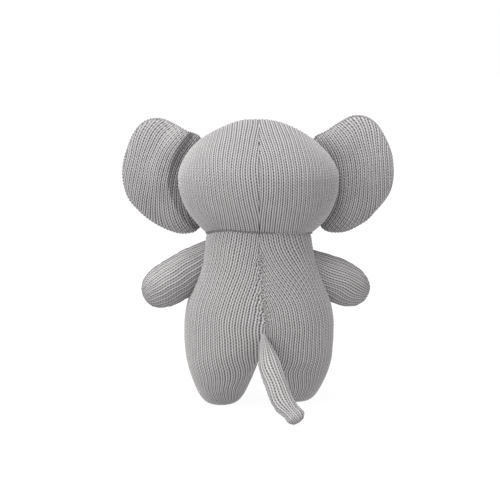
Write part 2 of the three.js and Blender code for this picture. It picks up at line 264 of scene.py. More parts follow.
# Shares of the neck's height, of the body's half width (outer and inner edge) and half depth,
# how far back the section's middle is in mm, and how far the section is cut flat along the middle.
BODY_LEVELS = [
    (0.000, 0.513, 0.498, 0.01, -2.0, 0.0),
    (0.000, 0.655, 0.355, 0.24, -2.0, 0.0),
    (0.005, 0.695, 0.315, 0.30, -2.0, 0.0),
    (0.020, 0.745, 0.265, 0.37, -2.0, 0.0),
    (0.060, 0.815, 0.195, 0.48, -2.0, 0.0),
    (0.126, 0.882, 0.122, 0.60, -1.7, 0.04),
    (0.199, 0.935, 0.060, 0.70, -1.3, 0.14),
    (0.245, 0.960, 0.024, 0.755, -1.0, 0.25),
    (0.285, 0.978, 0.002, 0.80, -0.8, 0.42),
    (0.340, 0.990, 0.002, 0.855, -0.5, 0.66),
    (0.400, 1.000, 0.002, 0.91, -0.2, 0.86),
    (0.477, 1.000, 0.002, 0.965, 0.0, 0.97),
    (0.540, 0.982, 0.002, 0.985, 0.0, 1.0),
    (0.610, 0.945, 0.002, 0.97, 0.0, 1.0),
    (0.728, 0.847, 0.002, 0.905, 0.0, 1.0),
    (0.848, 0.755, 0.002, 0.84, 0.0, 1.0),
    (0.940, 0.715, 0.002, 0.81, 0.0, 1.0),
    (0.984, 0.700, 0.002, 0.79, 0.0, 1.0),
    (1.000, 0.680, 0.002, 0.77, 0.0, 1.0),
    (1.008, 0.630, 0.002, 0.71, 0.0, 1.0),
    (1.004, 0.400, 0.002, 0.45, 0.0, 1.0),
    (0.995, 0.030, 0.002, 0.03, 0.0, 1.0),
]
# The levels whose heights only go up, and the level just under the crease of the neck.
BODY_UPRIGHT = slice(8, 19)
NECK_LEVEL = 17

# Of a half section: the share of its places from the outer side to the seam's corner, and how far
# round a leg's ellipse that corner is.
CORNER_SHARE = 0.64
LEG_CORNER = math.radians(132)
# The neck's tilt begins at this height.
TILT_FROM = 100

# The back seam: how far it drifts sideways going down, the heights between which it is closed by
# hand, and the length of one stitch of that closing and how far it reaches to each side.
SEAM_DRIFT = -6
CLOSED = {"low": 78, "high": 136}
LADDER = 4.2
STITCH_REACH = 1.5

# How far the fabric turns in at the seams of the body and of the head.
BODY_ROLL = 0.7
HEAD_ROLL = 0.9

# The right foot stands forward, and the columns near the seam lean more on the right.
FOOT_FORWARD = {"left": 0, "right": 11}
HIP = 46
BODY_SLANT = {"left": 2, "right": 18}


def around(outer, inner):
    """Places round a section: -1 and 1 are its inner middle, 0 its outer side, and back is above 0."""
    share = np.linspace(0, 1, outer + 1)
    share = share + 0.10 * np.sin(math.pi * share) * share
    share = share / share[-1]
    half = np.concatenate([share * CORNER_SHARE, np.linspace(CORNER_SHARE, 1, inner + 1)[1:]])
    return np.concatenate([-half[::-1], half[1:]])


def half_sections(place, outer, inner, deep, back, flat):
    """Sections of a half body: between a leg's ellipse and a half ellipse cut flat at its inner edge."""
    outer, inner, deep, back, flat = (v[:, None] for v in (outer, inner, deep, back, flat))
    arc = np.clip(np.abs(place) / CORNER_SHARE, 0, 1)[None]
    wall = np.clip((np.abs(place) - CORNER_SHARE) / (1 - CORNER_SHARE), 0, 1)[None]
    side = np.sign(place)[None]
    turn = arc * LEG_CORNER + wall * (math.pi - LEG_CORNER)
    round_x = (outer + inner) / 2 + (outer - inner) / 2 * np.cos(turn)
    round_y = deep * np.sin(turn)
    flat_x = inner + (outer - inner) * np.cos(arc * math.pi / 2)
    flat_y = deep * np.sin(arc * math.pi / 2) * (1 - wall)
    x = round_x + (flat_x - round_x) * flat**0.6
    y = round_y + (flat_y - round_y) * flat
    return x, back + side * y * deep / y.max(axis=1, keepdims=True)


def rolled_edge(y, back, to_corner, radius, flat):
    """Turns the fabric in along the seam, in a quarter circle."""
    left = np.clip(radius - to_corner, 0, radius)
    drop = (radius - np.sqrt(radius**2 - left**2)) * flat
    depth = y - back
    limit = np.maximum(np.abs(depth) - drop, 0)
    return back + np.sign(depth) * limit


def round_from_side(grid, place):
    """Length round each section from its outer side, and how long it is up to the seam's corner."""
    run = lengths(grid, 1)
    middle = len(place) // 2
    from_side = run - run[:, middle : middle + 1]
    corner = np.abs(np.abs(place) - CORNER_SHARE).argsort(kind="stable")[:2].max()
    half_length = from_side[:, corner : corner + 1]
    return from_side, half_length


def neck_wave(x, y):
    """The crease of the neck lifts a little on the left of the back."""
    return 1.7 * bump(x - 26, 15) * smooth(y, 5, 20)


def seam_drift(z):
    """How far the back seam has moved sideways at a height."""
    return SEAM_DRIFT * smooth(NECK[2] - 8 - z, 0, 78)


def closed_by_hand(z):
    """1 where the back seam is closed by hand, and 0 where it is not."""
    low, high = CLOSED["low"], CLOSED["high"]
    return smooth(z, low - 4, low + 4) * (1 - smooth(z, high - 6, high))


def seam_zigzag(z):
    """The uneven line of the part that is closed by hand."""
    waves = 0.8 * np.sin(2 * math.pi * z / (2 * LADDER)) + 0.5 * np.sin(2 * math.pi * z / 5.1 + 1)
    return waves * closed_by_hand(z)


def pushed(grid, amount, sideways):
    """The grid moved along its normals, but only partly sideways, so that seams stay closed."""
    move = grid_normals(grid) * amount[..., None]
    move[..., 0] *= sideways
    return grid + move


def body_half(side):
    """One knitted half of the body with its leg, from the sole to the neck."""
    sign = SIDES[side]
    table = np.array(BODY_LEVELS)
    height = table[:, 0] * NECK[2]
    reach = table[:, 1] * BODY_WIDE
    along = np.concatenate([[0], np.cumsum(np.hypot(np.diff(height), np.diff(reach)))])
    rows = np.linspace(0, along[-1], int(along[-1] / FINE))
    z, outer, inner, deep, back, flat = (
        through(along, column, rows)
        for column in (
            height,
            reach,
            table[:, 2] * BODY_WIDE,
            table[:, 3] * BODY_DEEP,
            table[:, 4],
            table[:, 5],
        )
    )
    back = back - FOOT_FORWARD[side] * (1 - smooth(z, 0, HIP))
    place = around(150, 62)
    x, y = half_sections(place, outer, inner, deep, back, flat)
    z = np.repeat(z[:, None], len(place), axis=1)
    grid = np.stack([x, y, z], axis=-1)

    from_side, half_length = round_from_side(grid, place)
    to_corner = half_length - np.abs(from_side)
    behind = smooth(y, -4, 4)

    y = rolled_edge(y, back[:, None], np.maximum(to_corner, 0), BODY_ROLL, flat[:, None])
    near = np.exp(-np.abs(to_corner) / 12) * flat[:, None]
    zigzag = seam_zigzag(z) * np.exp(-np.abs(to_corner) / 5)
    x = x + sign * (seam_drift(z) + zigzag) * behind * near
    z = z + (NECK_TILT * y + neck_wave(sign * x, y)) * smooth(z, TILT_FROM, NECK[2])

    grid = np.stack([x, y, z], axis=-1)
    mirrored = grid * [sign, 1, 1]
    sewn = closed_by_hand(z) * behind
    pucker = np.cos(2 * math.pi * z / LADDER + (0 if side == "left" else 2.4))
    soft = 0.5 * ripple(mirrored, 46, 3)
    soft = soft + sewn * (0.45 * pucker * bump(to_corner - 3, 3) - 0.3 * bump(to_corner, 4))
    off_seam = 1 + (smooth(to_corner, 0, 9) - 1) * flat[:, None]
    grid = pushed(grid, soft * smooth(rows, 12, 40)[:, None], off_seam)

    # Columns keep their width on the body, where the seam cuts them, and narrow towards the soles.
    widest = half_length.argmax()
    shoulders = np.where(rows[:, None] > rows[widest], half_length / half_length[widest], 1) ** 0.3
    crotch = np.argmax(flat > 0.3)
    whole = from_side[:, -1:] - from_side[:, :1]
    feet = np.minimum(whole / whole[crotch], 1) ** 0.72
    feet = 1 + (feet - 1) * smooth(rows[crotch] - rows, 0, 24)[:, None]
    width = BODY_WALE * shoulders * feet
    slant = BODY_SLANT[side] * smooth(z, 88, 150) * behind * bump(to_corner, 50)
    wale = (from_side - np.sign(from_side) * slant) / width + 0.12 * ripple(mirrored, 30, 5)
    lean = 0.25 * smooth(z, 90, 125) * behind * bump(to_corner, 40)
    course = (rows[:, None] - lean * to_corner) / COURSE + 0.22 * ripple(mirrored, 24, 6)
    shown = 1 + (smooth(to_corner, -3, 0.2) - 1) * flat[:, None]
    grid = knitted(grid, wale, course, shown * smooth(width, 1.4, 2.6))
    grid[..., 2] = np.maximum(grid[..., 2], 0)
    grid[..., 0] *= sign
    return tube_mesh(f"body_skin_{side}", grid, wale, course, flip=sign < 0)


# ---------------------------------------------------------------- head halves


# How round the head is above its middle (2 is an ellipse), from the side and on each half from the
# back, and how much its stitch columns lean into the seam above and below the middle.
HEAD_ROUND = {"deep": 1.8, "left": 1.75, "right": 1.45}
LEAN_ABOVE = {"left": 0.20, "right": 0.32}
LEAN_BELOW = {"left": 0.16, "right": 0.12}
LEAN_FROM = {"left": 8, "right": -14}


def head_profile(way):
    """Heights from the neck up, and the head's width or depth there as a share of its most."""
    lower = HEAD_MIDDLE - HEAD_CHIN
    upper = HEAD_TOP - HEAD_MIDDLE
    turn = np.linspace(-math.asin((HEAD_MIDDLE - NECK[2]) / lower), math.pi / 2 - 0.004, 400)
    height = np.where(turn < 0, lower, upper) * np.sin(turn)
    power = np.where(turn < 0, 2, HEAD_ROUND[way])
    share = np.sqrt(1 - np.abs(np.sin(turn)) ** power)
    rim_z = [NECK[2] - 1.5, NECK[2] - 2.2, NECK[2] - 1.0]
    rim_share = [0.05, 0.55, 0.615]
    return np.concatenate([rim_z, HEAD_MIDDLE + height]), np.concatenate([rim_share, share])


def head_half(side):
    """One knitted half of the head, from the neck to the top of the head."""
    sign = SIDES[side]
    profile_z, wide = head_profile(side)
    _, deep = head_profile("deep")
    along = np.concatenate([[0], np.cumsum(np.hypot(np.diff(profile_z), np.diff(wide) * HEAD_WIDE))])
    rows = np.linspace(0, along[-1], int(along[-1] / FINE))
    z, wide, deep = (np.interp(rows, along, values) for values in (profile_z, wide, deep))
    back = -HEAD_FORWARD * smooth(z, NECK[2], NECK[2] + 34)
    flat = np.ones_like(rows)
    place = around(170, 40)
    inner = np.full_like(rows, 0.12)
    x, y = half_sections(place, inner + HEAD_WIDE * wide, inner, HEAD_DEEP * deep, back, flat)
    z = np.repeat(z[:, None], len(place), axis=1)
    grid = np.stack([x, y, z], axis=-1)

    from_side, half_length = round_from_side(grid, place)
    to_corner = half_length - np.abs(from_side)

    # Columns run over the top of the head side by side, and up and down at its sides.
    # They lean into the seam above and below.
    upper = smooth(z, HEAD_MIDDLE + 6, HEAD_MIDDLE + 44)
    from_seam = (math.pi / 2) * to_corner / half_length
    at_side = smooth(from_seam, math.radians(40), math.radians(85)) * (1 - upper)
    over = np.arcsin(np.clip(x / (HEAD_WIDE * 1.01), 0, 1))
    beside = HEAD_WIDE * (over + at_side * (from_seam * np.sqrt(wide)[:, None] - over))
    climb = np.arctan2((z - HEAD_MIDDLE) / (HEAD_TOP - HEAD_MIDDLE), np.abs(y - back[:, None]) / HEAD_DEEP)
    level = rows[:, None] - rows[np.argmax(wide)]
    level = level + upper * (climb * (HEAD_TOP - HEAD_MIDDLE + HEAD_DEEP) / 2 - level)
    lean = LEAN_ABOVE[side] * ramp(z - HEAD_MIDDLE - 12, 5)
    lean = lean + LEAN_BELOW[side] * ramp(HEAD_MIDDLE + LEAN_FROM[side] - z, 6)

    y = rolled_edge(y, back[:, None], np.maximum(to_corner, 0), HEAD_ROLL, flat[:, None])
    z = z + (NECK_TILT * y + neck_wave(sign * x, y)) * smooth(-z, -(NECK[2] + 40), -NECK[2])
    grid = np.stack([x, y, z], axis=-1)
    mirrored = grid * [sign, 1, 1]
    soft = 0.6 * ripple(mirrored, 60, 13) * smooth(rows, 20, 45)[:, None]
    soft = soft * smooth(-rows, -rows[-1], 14 - rows[-1])[:, None]
    grid = pushed(grid, soft, smooth(to_corner, 0, 9))

    wale = (beside + lean) / HEAD_WALE + 0.12 * ripple(mirrored, 34, 15)
    course = level / COURSE + 0.2 * ripple(mirrored, 26, 16)
    grid = knitted(grid, wale, course, smooth(to_corner, -3, 0.2))
    grid[..., 0] *= sign
    return tube_mesh(f"head_skin_{side}", grid, wale, course, flip=sign < 0)


# ---------------------------------------------------------------- arms, trunk and tail


def along_line(knots, share):
    """Points of a smooth line through knots, evenly spaced by share of its length."""
    knots = np.array(knots, float)
    t = np.linspace(0, len(knots) - 1, 400)
    line = np.stack([through(range(len(knots)), knots[:, i], t) for i in range(3)], axis=-1)
    run = lengths(line, 0)
    return np.stack([np.interp(share * run[-1], run, line[:, i]) for i in range(3)], axis=-1), run[-1]


def limb(name, line, sizes, hint, thin, seed):
    """A stuffed tube round a line.

    Sizes are (share of the length, radius). Thin is (share of the length, thickness over width).
    """
    length = along_line(line, np.array([0.0]))[1]
    sizes = np.array(sizes)
    reach = np.concatenate([[0], np.cumsum(np.hypot(np.diff(sizes[:, 0]) * length, np.diff(sizes[:, 1])))])
    rows = np.linspace(0, reach[-1], int(reach[-1] / FINE))
    share = through(reach, sizes[:, 0], rows)
    radius = through(reach, sizes[:, 1], rows)
    centre, _ = along_line(line, np.clip(share, 0, 1))
    ahead, _ = along_line(line, np.clip(share + 0.02, 0, 1))
    behind, _ = along_line(line, np.clip(share - 0.02, 0, 1))
    way = ahead - behind
    way /= np.linalg.norm(way, axis=-1, keepdims=True)
    across = np.array(hint) - way * (way @ np.array(hint))[:, None]
    across /= np.linalg.norm(across, axis=-1, keepdims=True)
    out = np.cross(across, way)
    columns = int(2 * math.pi * radius.max() / FINE)
    turn = np.linspace(-math.pi, math.pi, columns + 1)
    thin = np.array(thin)
    thin = through(thin[:, 0], thin[:, 1], share)[:, None, None]
    grid = centre[:, None] + radius[:, None, None] * (
        np.cos(turn)[None, :, None] * across[:, None] + thin * np.sin(turn)[None, :, None] * out[:, None]
    )
    soft = 0.35 * ripple(grid, 26, seed) * smooth(radius, 2, 8)[:, None]
    grid = grid + grid_normals(grid) * soft[..., None]
    round_length = lengths(grid, 1)[:, -1:]
    wales = round(round_length.max() / LIMB_WALE)
    width = round_length / wales
    wale = turn[None] / (2 * math.pi) * wales + 0.14 * ripple(grid, 22, seed + 1)
    wale[:, -1] = wale[:, 0] + wales
    course = rows[:, None] / COURSE + 0.15 * ripple(grid, 18, seed + 2)
    grid = knitted(grid, wale, course, smooth(width, 1.2, 2.4) * np.ones_like(wale))
    return tube_mesh(name, grid, wale, course, flip=True)


# How each arm hangs down and points forward in degrees, how far it starts under its joint, its length,
# how flat it is, and its radius, both along its length.
ARM_SEWN = {"left": (32, 4), "right": (25, 28)}
ARM_DROP = {"left": 1.5, "right": 2.0}
ARM_REACH = {"left": 64, "right": 61.5}
ARM_THIN = [(0.0, 0.42), (0.22, 0.45), (0.42, 0.72), (0.62, 0.95), (1.0, 1.0)]
ARM_SIZES = [(0.0, 0.4), (0.01, 8), (0.05, 12.5), (0.22, 16.5), (0.40, 18.2), (0.60, 18.8), (0.76, 18.2)]
ARM_TIP = [(0.86, 15.8), (0.93, 12.4), (0.975, 7.8), (0.995, 3.6), (1.0, 0.4)]


def arm(side):
    """An arm, sewn flat to the body's side and round at its end."""
    droop, forward = (math.radians(angle) for angle in ARM_SEWN[side])
    level = math.cos(droop)
    way = np.array([level * math.cos(forward), -level * math.sin(forward), -math.sin(droop)])
    way = way * [SIDES[side], 1, 1]
    shoulder = pivot(f"arm_lift_{side}") - [0, 0, ARM_DROP[side]]
    line = [shoulder + way * reach for reach in (-18, 9, 35, ARM_REACH[side])]
    return limb(f"arm_skin_{side}", line, ARM_SIZES + ARM_TIP, (0, 0, 1), ARM_THIN, seed=21)


def trunk():
    """The trunk: out of the face and down, narrowing to a round tip."""
    root = pivot("trunk_lift")
    steps = [(0, 14, 3), (0, 0, 0), (0, -15, -8), (0, -22, -28), (0, -23, -52), (0, -29, -75)]
    sizes = [(0.0, 0.4), (0.01, 10), (0.05, 14), (0.14, 16.5), (0.28, 16), (0.42, 15), (0.7, 12.5)]
    tip = [(0.88, 11), (0.955, 8.5), (0.985, 5.2), (0.998, 2.2), (1.0, 0.4)]
    line = [root + step for step in steps]
    return limb("trunk_skin", line, sizes + tip, (1, 0, 0), [(0, 1), (1, 1)], seed=31)


def tail():
    """The tail: a flat tube that starts narrow at the back seam and hangs down behind."""
    steps = [(2, 4, 8), (-1, 12, -8), (-7, 23, -27), (-16, 33, -46), (-28, 44, -59)]
    sizes = [(0.0, 0.4), (0.02, 1.8), (0.09, 3.6), (0.2, 6.4), (0.38, 9.2), (0.6, 9.0), (0.8, 8.4)]
    tip = [(0.87, 7.4), (0.93, 8.0), (0.97, 6.0), (0.993, 2.8), (1.0, 0.4)]
    line = [TAIL_ROOT + step for step in steps]
    return limb("tail_skin", line, sizes + tip, (1, 0, 0), [(0, 0.9), (0.3, 0.6), (1, 0.6)], seed=41)


# ---------------------------------------------------------------- ears

# An ear: its edge going round from its root, and its middle; how far it is tilted in degrees and how
# its columns lean; and half its padding.
EAR_EDGE = [
    (-9, 33), (3, 42), (28, 52.5), (46.5, 44), (58, 14), (56, -11), (45, -27), (28, -40), (8, -46.5),
    (-9, -38), (-2, 0),
]
EAR_MIDDLE = np.array([24.0, 2.0])
EAR_TILT = {"left": 0, "right": 5}
EAR_LEAN = {"left": 0.19, "right": -0.05}
EAR_HALF = 5.2
# How far out from the ear's root the fold's line is read, and how far back the ear lies there.
FOLD_PLACES = [-14, -4, 5, 9.5, 13, 16, 20, 27, 40, 60, 90]
FOLD_DEPTHS = {
    "left": [-1, 3, 7, 8.8, 9.6, 11.6, 17.0, 16.6, 10.5, 7.4, 3],
    "right": [0, 4, 8, 10, 11.6, 12.8, 13.8, 14.2, 12.4, 7.5, 2],
}
# How far in from the edge the seam of an ear lies on its lower outer side, as a share of its size.
HEM = {"left": 0.0, "right": 0.075}


def closed_line(knots, count):
    """A smooth closed line through knots, starting at the first."""
    knots = np.array(knots, float)
    size = len(knots)
    t = np.linspace(0, size, count + 1)
    i = np.floor(t).astype(int)
    f = (t - i)[:, None]
    a, b, c, d = (knots[(i + k) % size] for k in (-1, 0, 1, 2))
    return 0.5 * (2 * b + (c - a) * f + (2 * a - 5 * b + 4 * c - d) * f**2 + (3 * b - a - 3 * c + d) * f**3)


def ear_depth(side, out, up):
    """How far back an ear lies: it rises from its root to a fold beside the head and sinks to its edge."""
    line = out + 0.011 * up**2
    return through(FOLD_PLACES, FOLD_DEPTHS[side], line) - 7 * (up / 49) ** 2


def ear_thickness(rings):
    """Half the padding's thickness at a share of the way from the middle to the edge."""
    return EAR_HALF * (1 - rings**4.5) ** 0.5


def on_ear(side, points):
    """From an ear's own out, back and up to the elephant's millimetres."""
    tilt = math.radians(EAR_TILT[side])
    out, back, up = points[..., 0], points[..., 1], points[..., 2]
    x = out * math.cos(tilt) - up * math.sin(tilt)
    z = out * math.sin(tilt) + up * math.cos(tilt)
    placed = np.stack([x, back, z], axis=-1) + pivot("ear_flap_left")
    return placed * [SIDES[side], 1, 1]


def ear_panel(side, layer):
    """The knitted back or front of an ear, crowned by the wadding inside."""
    facing = 1 if layer == "back" else -1
    edge = closed_line(EAR_EDGE, 380)
    rings = np.linspace(0.006, 1, 78)
    spot = EAR_MIDDLE + rings[:, None, None] * (edge - EAR_MIDDLE)[None]
    out, up = spot[..., 0], spot[..., 1]
    depth = ear_depth(side, out, up) + facing * (ear_thickness(rings)[:, None] + 0.15)
    grid = np.stack([out, depth, up], axis=-1)
    soft = 0.5 * ripple(grid, 34, 51 + facing) * smooth(-rings, -1, -0.9)[:, None]
    grid[..., 1] += soft
    bow = 0.009 * (1 - smooth(out, -10, 60))
    wale = (out + EAR_LEAN[side] * up + bow * up**2) / EAR_WALE + 0.12 * ripple(grid, 30, 55)
    course = up / COURSE + 0.2 * ripple(grid, 24, 56)
    order = grid[:, ::-1] if facing > 0 else grid
    wale, course = (v[:, ::-1] if facing > 0 else v for v in (wale, course))
    amount = smooth(-rings, -1, -0.95)[:, None] * np.ones_like(wale)
    order = knitted(order, wale, course, amount)
    name = f"ear_{layer}_skin_{side}"
    return disc_mesh(name, on_ear(side, order), wale, course, flip=SIDES[side] < 0)


def ear_rim(side):
    """The seam round an ear: a fine roll of yarn where the two panels meet."""
    edge = closed_line(EAR_EDGE, 560)
    lower_outer = smooth(edge[:, 0], 30, 46) * smooth(-edge[:, 1], -24, 6)
    share = 1 - HEM[side] * lower_outer
    out, up = (EAR_MIDDLE + share[:, None] * (edge - EAR_MIDDLE)).T
    back = ear_depth(side, out, up) + ear_thickness(share)
    centre = on_ear(side, np.stack([out, back, up], axis=-1))
    return yarn_ring(f"ear_rim_{side}", centre, 1.1, 3.0)


def yarn_ring(name, line, radius, twist):
    """A closed roll along a line, lumpy like twisted yarn. The line's last point repeats its first."""
    ring = line[:-1]
    way = np.roll(ring, -1, axis=0) - np.roll(ring, 1, axis=0)
    way /= np.linalg.norm(way, axis=-1, keepdims=True)
    middle = ring.mean(axis=0)
    across = ring - middle
    across -= way * (across * way).sum(axis=-1, keepdims=True)
    across /= np.linalg.norm(across, axis=-1, keepdims=True)
    out = np.cross(across, way)
    sides = 12
    turn = np.linspace(0, 2 * math.pi, sides + 1)[:-1]
    run = lengths(line, 0)[:-1]
    swell = radius * (1 + 0.22 * np.cos(2 * math.pi * run[:, None] / twist + turn[None]))
    points = ring[:, None] + swell[..., None] * (
        np.cos(turn)[None, :, None] * across[:, None] + np.sin(turn)[None, :, None] * out[:, None]
    )
    count = len(ring)
    i, j = np.meshgrid(np.arange(count), np.arange(sides), indexing="ij")
    after, beside = (i + 1) % count, (j + 1) % sides
    quads = np.stack([i * sides + j, i * sides + beside, after * sides + beside, after * sides + j], -1)
    uv = np.stack([run[i] / COURSE, j / sides], -1)
    uv = np.repeat(uv[:, :, None], 4, axis=2).reshape(-1, 2)
    return mesh_object(name, points, [quads.reshape(-1, 4)], [uv])


# ---------------------------------------------------------------- threads and eyes


def yarn_line(name, line, radius, twist):
    """A length of yarn along a line, closed at both ends."""
    way = np.gradient(line, axis=0)
    way /= np.linalg.norm(way, axis=-1, keepdims=True)
    across = np.cross(way, (0.12, 1.0, 0.07))
    across /= np.linalg.norm(across, axis=-1, keepdims=True)
    out = np.cross(across, way)
    turn = np.linspace(-math.pi, math.pi, 9)
    run = lengths(line, 0)
    taper = np.sqrt(smooth(run, -0.4, 0.5) * smooth(-run, -run[-1] - 0.4, -run[-1] + 0.5))
    swell = radius * (1 + 0.2 * np.cos(2 * math.pi * run[:, None] / twist + turn[None]))
    grid = line[:, None] + (taper[:, None] * swell)[..., None] * (
        np.cos(turn)[None, :, None] * across[:, None] + np.sin(turn)[None, :, None] * out[:, None]
    )
    course = np.repeat(run[:, None] / COURSE, len(turn), axis=1)
    return tube_mesh(name, grid, np.zeros_like(course), course, flip=True)


def seam_spot(z):
    """The place of the back seam at a height, on the outside of the body."""
    table = np.array(BODY_LEVELS)[BODY_UPRIGHT]
    deep = through(table[:, 0] * NECK[2], table[:, 3] * BODY_DEEP, z)
    tilted = z + NECK_TILT * deep * smooth(z, TILT_FROM, NECK[2])
    return np.stack([seam_drift(z) + seam_zigzag(z), deep, tilted], -1)


def closing_stitches():
    """One thread that crosses the back seam again and again, and dips into the fabric on each side."""
    crossings = int((CLOSED["high"] - CLOSED["low"]) / (LADDER / 2))
    step = np.arange(crossings * 10 + 1) / 10
    height = CLOSED["low"] + step * LADDER / 2
    swing = np.cos(math.pi * step)
    line = seam_spot(height)
    line[:, 0] += STITCH_REACH * swing
    line[:, 1] += 0.55 - 1.0 * swing**4
    return yarn_line("closing_stitches", line, 0.42, 2.2)


def neck_thread():
    """The thread that draws head and body together, down in the crease of the neck."""
    turn = np.linspace(0, 2 * math.pi, 321)
    wide, deep = BODY_LEVELS[NECK_LEVEL][1] * BODY_WIDE, BODY_LEVELS[NECK_LEVEL][3] * BODY_DEEP
    x, y = wide * np.cos(turn), deep * np.sin(turn)
    line = np.stack([x, y, NECK[2] + NECK_TILT * y + neck_wave(x, y)], axis=-1)
    return yarn_ring("neck_thread", line, 0.7, 2.4)


def eye(side):
    """A small dome of embroidery: upright threads laid side by side."""
    low, high = box(f"eye_{side}")
    middle = (low + high) / 2
    wide, tall = (high[0] - low[0]) / 2, (high[2] - low[2]) / 2
    rings = np.linspace(0.02, 1, 40)[:, None]
    turn = np.linspace(0, 2 * math.pi, 121)[None]
    x, z = wide * rings * np.cos(turn), tall * rings * np.sin(turn)
    threads = 0.16 * np.cos(2 * math.pi * x / 0.62 + 0.3 * np.sin(z)) * (1 - rings**6)
    rise = 1.9 * np.sqrt(np.maximum(1 - rings**2.6, 0)) + threads
    grid = np.stack([x, -rise, z], axis=-1) + [middle[0], high[1] - 0.4, middle[2]]
    skirt = grid[-1:] + [0, 2.4, 0]
    grid = np.concatenate([grid, skirt])
    zero = np.zeros(grid.shape[:2])
    return tube_mesh(f"eye_stitches_{side}", grid, zero, zero, flip=True)


# ---------------------------------------------------------------- materials


def link(tree, node, socket, value):
    """Feeds a socket from another node, or sets it to a fixed value."""
    if isinstance(value, bpy.types.NodeSocket):
        tree.links.new(value, node.inputs[socket])
    else:
        node.inputs[socket].default_value = value


def calc(tree, operation, a, b=0.0, c=0.0):
    node = tree.nodes.new("ShaderNodeMath")
    node.operation = operation
    for i, value in enumerate((a, b, c)):
        link(tree, node, i, value)
    return node.outputs[0]


def wave(tree, turns):
    """1 at every whole turn and 0 half way between."""
    angle = calc(tree, "MULTIPLY", turns, 2 * math.pi)
    return calc(tree, "MULTIPLY_ADD", calc(tree, "COSINE", angle), 0.5, 0.5)


def noise(tree, scale, detail, where):
    node = tree.nodes.new("ShaderNodeTexNoise")
    node.inputs["Scale"].default_value = scale
    node.inputs["Detail"].default_value = detail
    tree.links.new(where, node.inputs["Vector"])
    return node.outputs["Fac"]


def mix_colour(tree, share, a, b, blend="MIX"):
    node = tree.nodes.new("ShaderNodeMix")
    node.data_type = "RGBA"
    node.blend_type = blend
    link(tree, node, 0, share)
    link(tree, node, 6, a)
    link(tree, node, 7, b)
    return node.outputs[2]


def new_material(name):
    material = bpy.data.materials.new(name)
    material.use_nodes = True
    return material, material.node_tree, material.node_tree.nodes["Principled BSDF"]


def knit_material(name, high, low):
    """Yarn in stitch columns: its grey on top of each stitch, with painted shade in the holes between the
    columns.
    """
    material, tree, shader = new_material(name)
    uv = tree.nodes.new("ShaderNodeUVMap")
    uv.uv_map = "knit"
    split = tree.nodes.new("ShaderNodeSeparateXYZ")
    tree.links.new(uv.outputs["UV"], split.inputs[0])
    wale, course = split.outputs[0], split.outputs[1]
    part = calc(tree, "SUBTRACT", calc(tree, "FRACT", wale), 0.5)
    across = calc(tree, "MULTIPLY", calc(tree, "ABSOLUTE", part), 2.0)
    slanted = wave(tree, calc(tree, "MULTIPLY_ADD", across, -0.6, course))
    bars = wave(tree, calc(tree, "MULTIPLY_ADD", across, 0.5, course))
    legs = calc(tree, "SUBTRACT", 1.0, wave(tree, across))
    loops = calc(tree, "MULTIPLY", legs, calc(tree, "MULTIPLY_ADD", slanted, 0.32, 0.68))
    depth = calc(tree, "MULTIPLY_ADD", across, -0.08, 0.13)
    crossing = calc(tree, "MULTIPLY_ADD", bars, 0.30, depth)
    between = calc(tree, "MULTIPLY", calc(tree, "SUBTRACT", 1.0, legs), crossing)
    height = calc(tree, "ADD", loops, between)

    place = tree.nodes.new("ShaderNodeTexCoord").outputs["Object"]
    fibres = noise(tree, 1500.0, 3.0, place)
    heather = noise(tree, 260.0, 3.0, place)
    patches = noise(tree, 26.0, 2.0, place)
    # Painted shade: the colour goes from low, near black, in the holes to high on top of the loops.
    colour = mix_colour(tree, height, low, high)
    shade = calc(tree, "MULTIPLY_ADD", fibres, 0.34, 0.83)
    shade = calc(tree, "MULTIPLY", shade, calc(tree, "MULTIPLY_ADD", heather, 0.26, 0.87))
    shade = calc(tree, "MULTIPLY", shade, calc(tree, "MULTIPLY_ADD", patches, 0.12, 0.94))
    grey = tree.nodes.new("ShaderNodeCombineColor")
    for i in range(3):
        tree.links.new(shade, grey.inputs[i])
    tree.links.new(mix_colour(tree, 1.0, colour, grey.outputs[0], "MULTIPLY"), shader.inputs["Base Color"])

    relief = tree.nodes.new("ShaderNodeBump")
    relief.inputs["Strength"].default_value = 0.55
    relief.inputs["Distance"].default_value = 0.0006
    tree.links.new(calc(tree, "MULTIPLY_ADD", fibres, 0.5, height), relief.inputs["Height"])
    tree.links.new(relief.outputs["Normal"], shader.inputs["Normal"])
    rough = calc(tree, "MULTIPLY_ADD", fibres, 0.12, 0.86)
    tree.links.new(rough, shader.inputs["Roughness"])
    shader.inputs["Specular IOR Level"].default_value = 0.15
    shader.inputs["Sheen Weight"].default_value = 0.12
    shader.inputs["Sheen Roughness"].default_value = 0.5
    return material


def yarn_material(name, colour, roughness):
    material, tree, shader = new_material(name)
    place = tree.nodes.new("ShaderNodeTexCoord").outputs["Object"]
    fibres = noise(tree, 1800.0, 3.0, place)
    dark = tuple(0.55 * c for c in colour[:3]) + (1.0,)
    tree.links.new(mix_colour(tree, fibres, dark, colour), shader.inputs["Base Color"])
    relief = tree.nodes.new("ShaderNodeBump")
    relief.inputs["Strength"].default_value = 0.6
    relief.inputs["Distance"].default_value = 0.0003
    tree.links.new(fibres, relief.inputs["Height"])
    tree.links.new(relief.outputs["Normal"], shader.inputs["Normal"])
    tree.links.new(calc(tree, "MULTIPLY_ADD", fibres, 0.15, roughness), shader.inputs["Roughness"])
    shader.inputs["Sheen Weight"].default_value = 0.1
    return material


def dress(piece, material):
    """Gives a piece its material."""
    piece.data.materials.clear()
    piece.data.materials.append(material)


# ---------------------------------------------------------------- assembly

